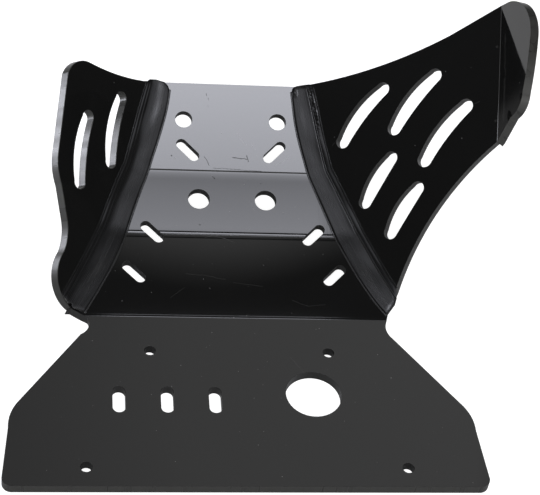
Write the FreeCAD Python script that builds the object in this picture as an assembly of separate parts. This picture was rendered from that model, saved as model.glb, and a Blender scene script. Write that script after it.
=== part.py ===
import FreeCAD, Part
import os
from math import cos, hypot, radians, sin, tan

Vec = FreeCAD.Vector

# Motorcycle skid plate, lengths in mm and angles in degrees
# Origin at the middle of the rear bolt pair, on the upper face of the rear panel
# X to the right seen from the rear, Y towards the front wheel, Z up

# Sheet that every plate is cut from
SHEET = 6.35
BEND_R = 3.0

# Centre plate: four panels in a row, each tilted up a little more than the last
REAR_PANEL_L = 131.7
LOWER_PANEL_L = 61.3
MIDDLE_PANEL_L = 46.3
FRONT_PANEL_L = 62.4
FIRST_FOLD = 14.1
SECOND_FOLD = 4.6
THIRD_FOLD = 7.3

# Rear panel outline, half widths and distances ahead of the rear edge
REAR_HALF = 145.5
REAR_CORNER_R = 6.0
SHOULDER_HALF = 142.8
SHOULDER_AHEAD = 42.0
SHOULDER_RUN = 19.0
SHOULDER_STEP = 5.0
SHOULDER_BOW = 1.6
DIAGONAL_SLOPE = 35.0
WAIST_HALF_RIGHT = 96.5
WAIST_HALF_LEFT = 94.4
WAIST_AHEAD = 122.5
WAIST_REACH = 7.0
WAIST_RETURN = 1.0
FLARE_AHEAD_RIGHT = 145.0
FLARE_HALF_RIGHT = 101.6
FLARE_AHEAD_LEFT = 136.2
FLARE_HALF_LEFT = 106.6

# Bolt holes of the rear panel
BOLT_D = 7.2
REAR_BOLT_INSET = 13.7
REAR_BOLT_SPACING = 193.0
FRONT_BOLT_AHEAD = 102.8
FRONT_BOLT_SPACING = 113.2

# Drain opening and the row of three slots in the rear panel
DRAIN_D = 34.9
DRAIN_X = 44.0
DRAIN_AHEAD = 69.5
VENT_COUNT = 3
VENT_PITCH = 29.5
VENT_MIDDLE_X = -47.0
VENT_AHEAD = 64.2
VENT_W = 7.9
VENT_L = 20.0

# Slots at 45 degrees, as half spacing and distance up their panel
OBLIQUE_W = 7.1
OBLIQUE_L = 18.9
OBLIQUE_ANGLE = 45.0
LOWER_SLOT_HALF = 65.7
LOWER_SLOT_UP = 31.6
FOLD_SLOT_HALF = 53.5
UPPER_SLOT_HALF = 29.3
UPPER_SLOT_UP = 14.1

# Round holes of the two upper panels
ACCESS_D = 14.4
ACCESS_HALF = 22.3
ACCESS_UP = 24.9
FRONT_HOLE_D = 11.6
FRONT_HOLE_HALF = 31.9
FRONT_HOLE_UP = 36.0

# Wings: each lies in one plane that starts at the first fold line
ROOT_HALF = 108.3
LEAN_RIGHT = 44.9
SWEEP_RIGHT = 39.9
LEAN_LEFT = 51.8
SWEEP_LEFT = 35.05
FLANGE_BEND = 38.0

# Weld beads along the inner corners, with a leg on the centre plate and one on the wing
BEAD_PANEL_LEG = 11.0
BEAD_WING_LEG_RIGHT = 8.8
BEAD_WING_LEG_LEFT = 10.2
BEAD_CROWN = 2.2
BEAD_VALLEY = 0.6
BEAD_SMALL_CROWN = 1.3
BEAD_LOBE_SHARE = 0.64
BEAD_LEAD = 10.0
BEAD_OVERRUN = 0.8

# Sizes of working blocks, larger than the part
FAR = 400.0
REACH = 30.0

# A direction with a sine under this to another counts as the same one
SAME_WAY = 0.1


def fold_frames():
    """Start point and tilt of every panel, and the front edge after the last."""
    y = -REAR_BOLT_INSET
    z = 0.0
    tilt = 0.0
    frames = []
    lengths = (REAR_PANEL_L, LOWER_PANEL_L, MIDDLE_PANEL_L, FRONT_PANEL_L)
    folds = (FIRST_FOLD, SECOND_FOLD, THIRD_FOLD, 0.0)
    for length, fold in zip(lengths, folds):
        frames.append((y, z, tilt))
        y += length * cos(radians(tilt))
        z += length * sin(radians(tilt))
        tilt += fold
    return frames, (y, z)


FRAMES, FRONT_EDGE = fold_frames()


def panel_normal(k):
    tilt = radians(FRAMES[k][2])
    return Vec(0, -sin(tilt), cos(tilt))


def panel_point(k, x, up, depth=0.0):
    """A point of panel k: up runs forward along it, depth goes down into it."""
    y, z, tilt = FRAMES[k]
    run = Vec(0, cos(radians(tilt)), sin(radians(tilt)))
    return Vec(x, y, z) + run * up - panel_normal(k) * depth


def half_space(point, normal):
    """A large block that fills the side of a plane that its normal points to."""
    n = Vec(normal).normalize()
    side = n.cross(Vec(0, 0, 1))
    if side.Length < SAME_WAY:
        side = n.cross(Vec(0, 1, 0))
    side.normalize()
    other = n.cross(side)
    corner = point - side * FAR - other * FAR
    return Part.makePlane(2 * FAR, 2 * FAR, corner, n, side).extrude(n * FAR)


def path_face(steps):
    """A face bounded by lines and arcs: a step is (end,) or (middle, end)."""
    edges = []
    here = steps[-1][-1]
    for step in steps:
        if len(step) == 1:
            edges.append(Part.LineSegment(here, step[0]).toShape())
        else:
            edges.append(Part.Arc(here, step[0], step[1]).toShape())
        here = step[-1]
    return Part.Face(Part.Wire(edges))


def slot_tool(centre, normal, along, width, length):
    """A round-ended slot cutter through the sheet; along gives the long way."""
    n = Vec(normal).normalize()
    t = Vec(along).normalize()
    s = n.cross(t)
    base = centre - n * 2 * SHEET
    r = width / 2
    h = length / 2 - r
    face = path_face([
        (base + t * h - s * r,),
        (base + t * (h + r), base + t * h + s * r),
        (base - t * h + s * r,),
        (base - t * (h + r), base - t * h - s * r),
    ])
    return face.extrude(n * 4 * SHEET)


def hole_tool(centre, normal, diameter):
    n = Vec(normal).normalize()
    return Part.makeCylinder(diameter / 2, 4 * SHEET, centre - n * 2 * SHEET, n)


def folded_strip():
    """The centre plate before trimming: its side profile drawn across the width."""
    line = [(y, z) for y, z, tilt in FRAMES] + [FRONT_EDGE]
    tilts = [frame[2] for frame in FRAMES]
    upper = [Vec(-FAR, y, z) for y, z in line]
    lower = []
    for i, (y, z) in enumerate(line):
        before = tilts[max(i - 1, 0)]
        after = tilts[min(i, len(tilts) - 1)]
        mean = radians((before + after) / 2)
        reach = SHEET / cos(radians((after - before) / 2))
        lower.append(Vec(-FAR, y + sin(mean) * reach, z - cos(mean) * reach))
    outline = Part.makePolygon(upper + lower[::-1] + [upper[0]])
    strip = Part.Face(outline).extrude(Vec(2 * FAR, 0, 0))
    for points, radius in ((upper, BEND_R), (lower, BEND_R + SHEET)):
        picked = []
        for edge in strip.Edges:
            for point in points[1:-1]:
                mid = edge.CenterOfMass
                if edge.Length > FAR and hypot(mid.y - point.y, mid.z - point.z) < 0.01:
                    picked.append(edge)
        strip = strip.makeFillet(radius, picked)
    return strip


def rear_outline():
    """Plan outline of the centre plate, open to both sides ahead of the waist."""
    rear = -REAR_BOLT_INSET

    def side(hand, waist_half, flare_half, flare_ahead):
        def at(half, ahead):
            return Vec(hand * half, rear + ahead, 0)

        nip = REAR_CORNER_R * (1 - cos(radians(45)))
        front = (SHOULDER_HALF, SHOULDER_AHEAD)
        back = (SHOULDER_HALF - SHOULDER_STEP, SHOULDER_AHEAD + SHOULDER_RUN)
        chord = hypot(SHOULDER_STEP, SHOULDER_RUN)
        bulge = (
            (front[0] + back[0]) / 2 + SHOULDER_BOW * SHOULDER_RUN / chord,
            (front[1] + back[1]) / 2 + SHOULDER_BOW * SHOULDER_STEP / chord,
        )
        short = WAIST_AHEAD - WAIST_REACH
        diagonal_half = back[0] - (short - back[1]) * tan(radians(DIAGONAL_SLOPE))
        waist_end = (waist_half + WAIST_RETURN, WAIST_AHEAD + WAIST_REACH)
        return [
            (at(REAR_HALF - REAR_CORNER_R, 0),),
            (at(REAR_HALF - nip, nip), at(REAR_HALF, REAR_CORNER_R)),
            (at(*front),),
            (at(*bulge), at(*back)),
            (at(diagonal_half, short),),
            (at(waist_half, WAIST_AHEAD), at(*waist_end)),
            (at(flare_half, flare_ahead),),
            (at(FAR / 2, flare_ahead),),
            (at(FAR / 2, FAR),),
        ]

    right = side(1, WAIST_HALF_RIGHT, FLARE_HALF_RIGHT, FLARE_AHEAD_RIGHT)
    left = side(-1, WAIST_HALF_LEFT, FLARE_HALF_LEFT, FLARE_AHEAD_LEFT)
    return right, left


def reversed_path(steps, start):
    """The same lines and arcs walked the other way, ending at start."""
    nodes = [start] + [step[-1] for step in steps]
    back = []
    for i in range(len(steps) - 1, -1, -1):
        if len(steps[i]) == 1:
            back.append((nodes[i],))
        else:
            back.append((steps[i][0], nodes[i]))
    return back


def plan_block():
    right, left = rear_outline()
    first_left = left[0][-1]
    face = path_face(right + [(left[-1][-1],)] + reversed_path(left[1:], first_left))
    face.translate(Vec(0, 0, -FAR / 2))
    return face.extrude(Vec(0, 0, FAR))


class WingPlane:
    """The inner face of one wing, with its own axes along and away from the seam."""

    def __init__(self, hand, lean, sweep):
        steep = radians(90 - lean)
        turn = radians(sweep)
        self.hand = hand
        self.normal = Vec(-hand * cos(steep) * cos(turn), -cos(steep) * sin(turn), sin(steep))
        y, z, tilt = FRAMES[1]
        self.root = Vec(hand * ROOT_HALF, y, z)
        tip = self.on_line(*FRONT_EDGE)
        self.seam_length = (tip - self.root).Length
        self.along = (tip - self.root).normalize()
        self.away = self.normal.cross(self.along)
        if self.away.x * hand < 0:
            self.away = self.away * -1

    def on_line(self, y, z):
        """Where a line across the plate at this height meets the wing plane."""
        gap = self.normal.dot(self.root) - self.normal.y * y - self.normal.z * z
        return Vec(gap / self.normal.x, y, z)

    def at(self, along, away):
        return self.root + self.along * along + self.away * away

    def seam(self):
        lines = [(y, z) for y, z, tilt in FRAMES[1:]] + [FRONT_EDGE]
        return [self.on_line(y, z) for y, z in lines]

    def mitre_normal(self, k):
        """Normal of the plane that halves the corner with panel k, to the panel."""
        return self.normal - panel_normal(k)


RIGHT = WingPlane(1, LEAN_RIGHT, SWEEP_RIGHT)
LEFT = WingPlane(-1, LEAN_LEFT, SWEEP_LEFT)


def crescent_tool(plane, low, high, end_r, outer_bow, inner_bow):
    """Cutter for a crescent slot, given by the centres of its two round ends."""
    a = plane.at(*low)
    b = plane.at(*high)
    t = (b - a).normalize()
    s = plane.along * t.dot(plane.away) - plane.away * t.dot(plane.along)
    if plane.hand < 0:
        s = s * -1
    mid = (a + b) * 0.5
    face = path_face([
        (mid + s * (end_r + outer_bow), b + s * end_r),
        (b + t * end_r, b - s * end_r),
        (mid - s * (end_r - inner_bow), a - s * end_r),
        (a - t * end_r, a + s * end_r),
    ])
    face.translate(plane.normal * -2 * SHEET)
    return face.extrude(plane.normal * 4 * SHEET)


# Right wing outline, from the seam round by the lower edge, fold and top edge
RIGHT_FOLD_LOW = (76.5, 105.2)
RIGHT_FOLD_HIGH = (158.2, 145.5)
RIGHT_LOWER_EDGE = ((-3.0, -24.0), (18.9, 2.7), (52.4, 44.3))
RIGHT_EDGE_PAST_FOLD = (82.0, 120.2)
RIGHT_TOP_STRAIGHT = (157.9, 107.0)
RIGHT_TOP_MID = (165.6, 47.9)
RIGHT_TOP_END = 0.9

# Right wing slots: end centres, end radius, bow of the outer and the inner side
RIGHT_SLOTS = (
    ((129.4, 10.9), (148.4, 50.5), 4.7, 3.6, 1.7),
    ((119.6, 47.0), (138.4, 86.5), 4.75, 3.4, 1.3),
    ((89.7, 56.9), (108.8, 96.6), 4.9, 3.1, 1.6),
    ((83.7, 8.3), (102.3, 36.6), 4.5, 2.7, 0.1),
    ((56.5, 15.9), (74.8, 44.7), 4.5, 2.8, 0.1),
)

# Flange at the right wing's outer end, along its fold and outwards
FLANGE_LOW_CORNER = ((13.5, 14.5), (18.6, 23.0), (27.5, 27.0))
FLANGE_SIDE = ((45.0, 31.3), (62.0, 33.8))
FLANGE_TOP_CORNER = ((82.8, 27.5), (91.6, 9.0))

# Left wing outline, from the top of the seam round to its foot
LEFT_TOP_EDGE = ((164.7, 28.5), (157.2, 54.4))
LEFT_TOP_CORNER = ((151.6, 63.6), (140.0, 67.1))
LEFT_SIDE_END = (91.0, 52.0)
LEFT_SHOULDER = ((80.6, 47.4), (72.0, 40.0))
LEFT_SLOPE_END = (56.0, 27.4)
LEFT_VALLEY = ((46.0, 21.6), (35.0, 19.6))
LEFT_FOOT = ((16.5, 16.6), (4.8, -2.5))
LEFT_FOOT_END = (7.8, -30.0)
LEFT_SLOTS = (
    ((81.9, 27.5), (123.8, 40.0), 4.5, 3.5, 1.8),
    ((108.1, 10.4), (151.3, 20.9), 4.4, 3.6, 1.6),
)


def right_wing_face():
    at = RIGHT.at
    foot, low, mid = RIGHT_LOWER_EDGE
    end = RIGHT.seam_length + RIGHT_TOP_END
    return path_face([
        (at(*low),),
        (at(*mid), at(*RIGHT_FOLD_LOW)),
        (at(*RIGHT_EDGE_PAST_FOLD),),
        (at(RIGHT_FOLD_HIGH[0], RIGHT_FOLD_HIGH[1] + REACH / 2),),
        (at(*RIGHT_FOLD_HIGH),),
        (at(*RIGHT_TOP_STRAIGHT),),
        (at(*RIGHT_TOP_MID), at(end, 0)),
        (at(end + REACH * 0.4, -REACH),),
        (at(*foot),),
    ])


def left_wing_face():
    at = LEFT.at
    end = LEFT.seam_length
    return path_face([
        (at(*LEFT_TOP_EDGE[0]), at(*LEFT_TOP_EDGE[1])),
        (at(*LEFT_TOP_CORNER[0]), at(*LEFT_TOP_CORNER[1])),
        (at(*LEFT_SIDE_END),),
        (at(*LEFT_SHOULDER[0]), at(*LEFT_SHOULDER[1])),
        (at(*LEFT_SLOPE_END),),
        (at(*LEFT_VALLEY[0]), at(*LEFT_VALLEY[1])),
        (at(*LEFT_FOOT[0]), at(*LEFT_FOOT[1])),
        (at(*LEFT_FOOT_END),),
        (at(end + REACH * 0.3, -REACH),),
        (at(end, 0),),
    ])


def prism(face, normal):
    """A face drawn out to both sides, far enough to pass through the sheet."""
    block = face.copy()
    block.translate(normal * -REACH)
    return block.extrude(normal * 2 * REACH)


def trimmed_to_seam(solid, plane):
    for k in (1, 2, 3):
        point = plane.on_line(*FRAMES[k][:2])
        solid = solid.common(half_space(point, plane.mitre_normal(k) * -1))
    return solid


def bent_strip(low, along, flat_out, out, normal):
    """Sheet bent along the flange's fold line, longer and wider than the wing."""
    setback = BEND_R * tan(radians(FLANGE_BEND) / 2)
    inner_centre = low - flat_out * setback + RIGHT.normal * BEND_R
    middle = (RIGHT.normal + normal).normalize()
    rims = []
    for radius in (BEND_R, BEND_R + SHEET):
        on_wing = inner_centre - RIGHT.normal * radius
        on_flange = inner_centre - normal * radius
        rims.append((on_wing, inner_centre - middle * radius, on_flange))
    inner, outer = rims
    far_wing = flat_out * -FAR
    far_flange = out * FAR
    profile = path_face([
        (inner[0],),
        (inner[1], inner[2]),
        (inner[2] + far_flange,),
        (outer[2] + far_flange,),
        (outer[2],),
        (outer[1], outer[0]),
        (outer[0] + far_wing,),
        (inner[0] + far_wing,),
    ])
    profile.translate(along * -FAR)
    return profile.extrude(along * 2 * FAR)


def right_wing():
    """The right wing with the flange turned in at its outer end."""
    low = RIGHT.at(*RIGHT_FOLD_LOW)
    high = RIGHT.at(*RIGHT_FOLD_HIGH)
    length = (high - low).Length
    along = (high - low).normalize()
    flat_out = RIGHT.normal.cross(along)
    if flat_out.dot(RIGHT.away) < 0:
        flat_out = flat_out * -1
    bend = radians(FLANGE_BEND)
    out = flat_out * cos(bend) + RIGHT.normal * sin(bend)
    normal = RIGHT.normal * cos(bend) - flat_out * sin(bend)

    def at(up, away):
        return low + along * up + out * away

    flange_face = path_face([
        (at(*FLANGE_LOW_CORNER[0]),),
        (at(*FLANGE_LOW_CORNER[1]), at(*FLANGE_LOW_CORNER[2])),
        (at(*FLANGE_SIDE[0]), at(*FLANGE_SIDE[1])),
        (at(*FLANGE_TOP_CORNER[0]), at(*FLANGE_TOP_CORNER[1])),
        (at(length, 0),),
        (at(length, -REACH),),
        (at(-REACH * FLANGE_LOW_CORNER[0][0] / FLANGE_LOW_CORNER[0][1], -REACH),),
    ])
    strip = bent_strip(low, along, flat_out, out, normal)
    mitre = RIGHT.normal - normal
    flange = strip.common(prism(flange_face, normal)).common(half_space(low, mitre))
    wing = strip.common(prism(right_wing_face(), RIGHT.normal))
    wing = trimmed_to_seam(wing.common(half_space(low, mitre * -1)), RIGHT)
    wing = wing.fuse(flange).removeSplitter()
    for low_end, high_end, end_r, outer_bow, inner_bow in RIGHT_SLOTS:
        tool = crescent_tool(RIGHT, low_end, high_end, end_r, outer_bow, inner_bow)
        wing = wing.cut(tool)
    return wing


def left_wing():
    wing = trimmed_to_seam(left_wing_face().extrude(LEFT.normal * -SHEET), LEFT)
    for low_end, high_end, end_r, outer_bow, inner_bow in LEFT_SLOTS:
        tool = crescent_tool(LEFT, low_end, high_end, end_r, outer_bow, inner_bow)
        wing = wing.cut(tool)
    return wing


def centre_plate():
    strip = folded_strip().common(plan_block())
    pieces = []
    for k in range(len(FRAMES)):
        y, z, tilt = FRAMES[k]
        piece = strip
        if k > 0:
            back = radians((FRAMES[k - 1][2] + tilt) / 2)
            piece = piece.common(half_space(Vec(0, y, z), Vec(0, cos(back), sin(back))))
        if k < len(FRAMES) - 1:
            y_end, z_end, tilt_end = FRAMES[k + 1]
            ahead = radians((tilt + tilt_end) / 2)
            facing = Vec(0, -cos(ahead), -sin(ahead))
            piece = piece.common(half_space(Vec(0, y_end, z_end), facing))
        if k > 0:
            for plane in (RIGHT, LEFT):
                point = plane.on_line(y, z)
                piece = piece.common(half_space(point, plane.mitre_normal(k)))
        pieces.append(piece)
    plate = pieces[0].fuse(pieces[1:]).removeSplitter()
    return plate.cut(Part.makeCompound(centre_cutters()))


def centre_cutters():
    up = panel_normal(0)
    tools = []
    pairs = (
        (0, REAR_BOLT_INSET, REAR_BOLT_SPACING / 2, BOLT_D),
        (0, FRONT_BOLT_AHEAD, FRONT_BOLT_SPACING / 2, BOLT_D),
        (2, ACCESS_UP, ACCESS_HALF, ACCESS_D),
        (3, FRONT_HOLE_UP, FRONT_HOLE_HALF, FRONT_HOLE_D),
    )
    for k, ahead, half, diameter in pairs:
        for hand in (-1, 1):
            point = panel_point(k, hand * half, ahead)
            tools.append(hole_tool(point, panel_normal(k), diameter))
    tools.append(hole_tool(panel_point(0, DRAIN_X, DRAIN_AHEAD), up, DRAIN_D))
    for i in range(VENT_COUNT):
        x = VENT_MIDDLE_X + (i - (VENT_COUNT - 1) / 2) * VENT_PITCH
        point = panel_point(0, x, VENT_AHEAD)
        tools.append(slot_tool(point, up, Vec(0, 1, 0), VENT_W, VENT_L))
    oblique = (
        (panel_normal(1), 1, LOWER_SLOT_UP, LOWER_SLOT_HALF),
        (panel_normal(1) + panel_normal(2), 2, 0.0, FOLD_SLOT_HALF),
        (panel_normal(3), 3, UPPER_SLOT_UP, UPPER_SLOT_HALF),
    )
    turn = radians(OBLIQUE_ANGLE)
    for normal, k, ahead, half in oblique:
        n = Vec(normal).normalize()
        run = Vec(1, 0, 0).cross(n) * -1
        for hand in (-1, 1):
            way = Vec(hand * cos(turn), 0, 0) + run * sin(turn)
            point = panel_point(k, hand * half, ahead)
            tools.append(slot_tool(point, n, way, OBLIQUE_W, OBLIQUE_L))
    return tools


def bead_section(corner, inward, outward, wing_leg):
    """Cross section of a weld bead: a wide lobe on the panel side, a small one beside."""
    on_panel = corner + inward * BEAD_PANEL_LEG
    on_wing = corner + outward * wing_leg
    up = (inward + outward).normalize()
    chord = on_wing - on_panel
    lobe = BEAD_LOBE_SHARE
    valley = on_panel + chord * lobe + up * BEAD_VALLEY
    main_top = on_panel + chord * (lobe / 2) + up * BEAD_CROWN
    small_top = on_panel + chord * ((1 + lobe) / 2) + up * BEAD_SMALL_CROWN
    return path_face([
        (on_panel,),
        (main_top, valley),
        (small_top, on_wing),
        (corner,),
    ])


def weld_bead(plane, wing_leg, wing_face):
    """A bead with one straight run on each tilted panel, mitred at the folds."""
    seam = plane.seam()
    runs = [(b - a).normalize() for a, b in zip(seam, seam[1:])]
    seam[0] = seam[0] - runs[0] * BEAD_LEAD
    seam[-1] = seam[-1] + runs[-1] * BEAD_OVERRUN
    pieces = []
    for i, run in enumerate(runs):
        inward = panel_normal(i + 1).cross(run) * plane.hand
        outward = run.cross(plane.normal) * plane.hand
        start = seam[i] - run * (REACH if i > 0 else 0.0)
        end = seam[i + 1] + run * (REACH if i < len(runs) - 1 else 0.0)
        piece = bead_section(start, inward, outward, wing_leg).extrude(end - start)
        if i > 0:
            piece = piece.common(half_space(seam[i], runs[i - 1] + run))
        if i < len(runs) - 1:
            piece = piece.common(half_space(seam[i + 1], (run + runs[i + 1]) * -1))
        pieces.append(piece)
    bead = pieces[0].fuse(pieces[1:]).removeSplitter()
    bead = bead.common(prism(wing_face, plane.normal)).common(plan_block())
    bead = bead.cut(folded_strip())
    return max(bead.Solids, key=lambda solid: solid.Volume)


def build():
    return {
        "centre_plate": centre_plate(),
        "right_wing": right_wing(),
        "left_wing": left_wing(),
        "right_weld": weld_bead(RIGHT, BEAD_WING_LEG_RIGHT, right_wing_face()),
        "left_weld": weld_bead(LEFT, BEAD_WING_LEG_LEFT, left_wing_face()),
    }


os.makedirs("parts", exist_ok=True)
for name, shape in build().items():
    box = shape.BoundBox
    print(name, shape.ShapeType, shape.isValid(), len(shape.Solids), round(shape.Volume),
          [round(v, 1) for v in (box.XMin, box.XMax, box.YMin, box.YMax, box.ZMin, box.ZMax)])
    if shape.ShapeType != "Solid" and len(shape.Solids) == 1:
        shape = shape.Solids[0]
    shape.exportStep("parts/" + name + ".step")
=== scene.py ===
"""Looks of the motorcycle skid plate: black plastic sheet, weld beads and a small studio."""

from math import cos, radians, sin

import bmesh
import bpy
import numpy as np
from bpy.props import FloatProperty, FloatVectorProperty, PointerProperty
from mathutils import Matrix, Vector


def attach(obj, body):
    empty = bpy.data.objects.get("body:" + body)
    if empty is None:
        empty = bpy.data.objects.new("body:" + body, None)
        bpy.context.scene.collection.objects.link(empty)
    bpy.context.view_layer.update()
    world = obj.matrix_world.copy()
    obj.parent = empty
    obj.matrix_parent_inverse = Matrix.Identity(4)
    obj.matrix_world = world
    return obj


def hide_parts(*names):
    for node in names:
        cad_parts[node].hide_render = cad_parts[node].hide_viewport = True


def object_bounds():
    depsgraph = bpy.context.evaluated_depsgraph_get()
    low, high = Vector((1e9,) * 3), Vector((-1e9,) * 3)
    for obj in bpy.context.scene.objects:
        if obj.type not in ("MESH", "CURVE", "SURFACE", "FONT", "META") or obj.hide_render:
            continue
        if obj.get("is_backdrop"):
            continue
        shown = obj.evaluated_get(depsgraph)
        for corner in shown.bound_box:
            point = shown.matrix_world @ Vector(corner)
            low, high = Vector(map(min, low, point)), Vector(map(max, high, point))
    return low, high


bl_info = {
    "name": "Skid plate look",
    "version": (1, 0, 0),
    "blender": (4, 5, 0),
    "location": "3D View > Sidebar > Skid Plate",
    "description": "Plastic sheet, weld beads and studio for a motorcycle skid plate",
    "category": "Object",
}

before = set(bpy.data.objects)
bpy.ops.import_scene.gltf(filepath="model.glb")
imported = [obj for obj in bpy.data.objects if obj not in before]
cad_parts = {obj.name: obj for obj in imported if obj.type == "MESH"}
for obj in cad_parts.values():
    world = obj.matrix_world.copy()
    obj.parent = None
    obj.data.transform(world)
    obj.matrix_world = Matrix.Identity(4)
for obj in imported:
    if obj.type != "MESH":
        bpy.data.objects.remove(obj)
CAD_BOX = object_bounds()
FLOOR_Z = CAD_BOX[0][2]
# How far the floor lies below the lowest point, and half its side
FLOOR_GAP = 0.0002
FLOOR_HALF = 4.0
# Reflections show the floor dim, as painted shadow, up to one distance from this place and pale past the
# other
FLOOR_MIDDLE = (0.02, 0.14)
SHADOW_PAINTED_WITHIN = 0.26
PALE_BEYOND = 0.34
WHITE = (1.0, 1.0, 1.0)
# Height of the softbox and the card, and the key light's slightly cool colour
LAMP_HEIGHT = 1.5
KEY_COLOUR = (0.97, 0.985, 1.075)
# The softbox's brightness along Y and across X, as (place, share)
SOFTBOX_ALONG = ((-0.17, 0.0), (-0.021, 0.0), (-0.02, 0.62), (0.1, 0.86), (0.19, 1.03), (0.33, 0.52),
                 (0.41, 0.38), (0.444, 0.3))
SOFTBOX_ACROSS = ((-1.0, 0.0), (-0.04, 0.0), (0.0, 1.0), (0.31, 1.0), (0.36, 0.0), (1.55, 0.0))
# The dim light on both sides of it, across X and along Y
BESIDE = ((-1.0, 0.0), (-0.95, 0.1), (-0.6, 0.14), (-0.3, 0.14), (-0.04, 0.05), (0.31, 0.04), (0.4, 0.06),
          (0.6, 0.11), (1.0, 0.12), (1.3, 0.07), (1.55, 0.03))
BESIDE_ALONG = ((-0.17, 0.8), (-0.1, 1.0), (0.2, 1.0), (0.3, 0.5), (0.36, 0.2), (0.444, 0.1))
# The pale card: its middle, its size, and its brightness by the share from its left side and by
# the distance from its middle
CARD_MIDDLE = (0.13, 1.243)
CARD_SIZE = (1.2, 1.486)
CARD_SIDEWAYS = ((0.2, 0.6), (0.5, 0.92), (1.0, 1.08))
CARD_RIM = ((0.43, 1.0), (0.45, 0.8), (0.47, 0.45), (0.485, 0.2), (0.5, 0.0))
# Lamps aimed at the part: place, size, aim and colour. The side lamp lights up the left wing's
# cut edges, cut edges towards the camera mirror the edge lamp, and no smooth face mirrors the fill
AIMED_LAMPS = {
    "side lamp": ((-0.45, 0.32, 0.08), (0.22, 0.1), (-0.15, 0.23, 0.06), KEY_COLOUR),
    "edge lamp": ((1.13, -0.55, 0.36), (0.8, 0.5), (0.17, 0.2, 0.1), WHITE),
    "fill": ((-0.3, -1.6, 1.6), (1.8, 1.1), (0.0, 0.14, 0.03), WHITE),
}

# Tilt of the centre plate's panels in degrees, from the rear to the front
PANEL_TILTS = (0.0, 14.1, 18.7, 26.0)
# Where the first panel starts and how long each panel is, in metres
REAR_EDGE_Y = -0.0137
PANEL_LENGTHS = (0.1317, 0.0613, 0.0463, 0.0624)
# How far out the wings' inner faces start at the first fold
WING_ROOT_HALF = 0.1083
# Inner face of each wing: side, lean and sweep in degrees
RIGHT_WING = (1, 44.9, 39.9)
LEFT_WING = (-1, 51.8, 35.05)

# How close points are merged, and how flat faces are joined, before edges are rounded
MERGE_DISTANCE = 2e-6
FLAT_DEGREES = 0.2
# Edges sharper than the first are rounded, and polygons that meet at less than the second are
# shaded as one
CORNER_DEGREES = 30.0
SMOOTH_DEGREES = 16.0
# Area of a flat that keeps its own normal, in square metres
WIDE_FLAT = 1e-4
# Polygons lie in one flat when their normals and offsets are alike, rounded to these steps
NORMAL_STEPS = 500.0
OFFSET_STEPS = 20000.0
# Keeps a mean normal of no length from being divided by zero
SHORTEST = 1e-30
# A wing's polygon is a sheet face when its normal comes at least this near the wing's own
FLAT_LEAST = 0.98
FOLDED_LEAST = 0.77
# One of the centre plate hardly points sideways and is little steeper than the front panel
SIDEWAYS_MOST = 0.02
STEEPER_DEGREES = 1.0

# Walls of the centre plate's holes lie within these limits, in metres; they are coloured darker as painted
# shade
HOLES_HALF = 0.11
HOLES_FROM = -0.01
HOLES_TO = 0.28

# Slopes of the creases at the three folds, from the rear: (distance in mm, degrees)
CREASE_POINTS = 64
REAR_CREASE = (
    (-4.0, 0.0), (-1.6, 0.0), (-1.35, -0.6), (-1.15, 17.2), (-0.9, 17.2), (-0.75, 13.6),
    (-0.4, 13.6), (0.4, -0.3), (0.5, 0.3), (0.8, 0.3), (1.0, 0.0), (4.0, 0.0))
MIDDLE_CREASE = (
    (-6.0, 0.0), (-4.2, 0.0), (-3.9, 2.2), (-3.5, 2.2), (-3.1, 0.5), (-2.5, 0.2), (-1.45, 0.0),
    (-1.3, 13.0), (-0.9, 13.0), (-0.75, 11.0), (-0.1, 11.0), (0.2, -2.4), (1.0, -2.4),
    (1.7, -0.3), (4.0, 0.0))
FRONT_CREASE = ((-10.0, 0.0), (-8.0, 0.0), (-6.5, 0.1), (-5.0, 0.5), (-3.8, 1.0), (-2.6, 1.7), (-1.4, 2.6),
                (-1.0, 3.2), (-0.6, -1.0), (-0.3, -10.0), (0.2, -10.0), (0.45, 0.0), (2.0, 0.0))

# Marks on the centre plate in millimetres: start, end and half width
DULL_MARKS = (
    ((-16.6, 271.0), (-16.2, 269.5), 0.3), ((-15.2, 268.0), (-15.0, 266.6), 0.25),
    ((-15.6, 263.0), (-15.2, 262.4), 0.3),
    ((0.9, 230.0), (11.0, 229.0), 0.45), ((10.4, 231.5), (11.6, 227.7), 0.45),
    ((-18.0, 230.1), (-16.7, 227.6), 0.35), ((-16.7, 227.6), (-14.7, 224.4), 0.35),
    ((-40.2, 230.1), (-39.9, 230.0), 0.6), ((-12.8, 217.0), (-11.5, 215.6), 0.6),
    ((19.3, 213.0), (19.6, 212.9), 0.5), ((-22.3, 183.2), (-21.6, 183.3), 0.6),
    ((-12.0, 223.0), (20.0, 221.5), 0.3))
PALE_MARKS = (
    ((11.5, 200.8), (14.6, 193.9), 0.3),
    ((-32.3, 147.9), (-19.4, 146.8), 0.3), ((-19.4, 146.8), (-6.4, 144.2), 0.3),
    ((-1.3, 142.2), (17.6, 139.7), 0.3), ((-42.4, 130.8), (-33.2, 138.0), 0.25),
    ((36.7, 130.1), (47.0, 126.1), 0.3), ((47.0, 126.1), (58.3, 127.7), 0.25),
    ((31.9, 84.9), (39.7, 72.8), 0.3), ((4.5, 245.6), (10.5, 238.0), 0.3),
    ((13.2, 239.3), (16.5, 234.9), 0.3))
# The same on the right wing: the rough line along the flange's bend, drawn pale as a painted highlight,
# swarf and smears
WING_MARKS_AND_HIGHLIGHT = (
    ((170.2, 247.0), (169.2, 224.0), 0.35), ((169.0, 222.0), (167.7, 199.0), 0.45),
    ((166.1, 245.6), (166.6, 245.0), 0.8), ((164.3, 204.5), (164.6, 204.0), 0.8),
    ((152.7, 219.5), (155.6, 219.3), 0.4), ((68.1, 234.4), (74.0, 239.5), 0.3))
# How fine and how wide the marks' wobble is, and how pale and how dull marks get
WOBBLE_SCALE = 260.0
WOBBLE = 0.0012
MARK_PALENESS = 0.1
MARK_DULLNESS = 0.6
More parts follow.
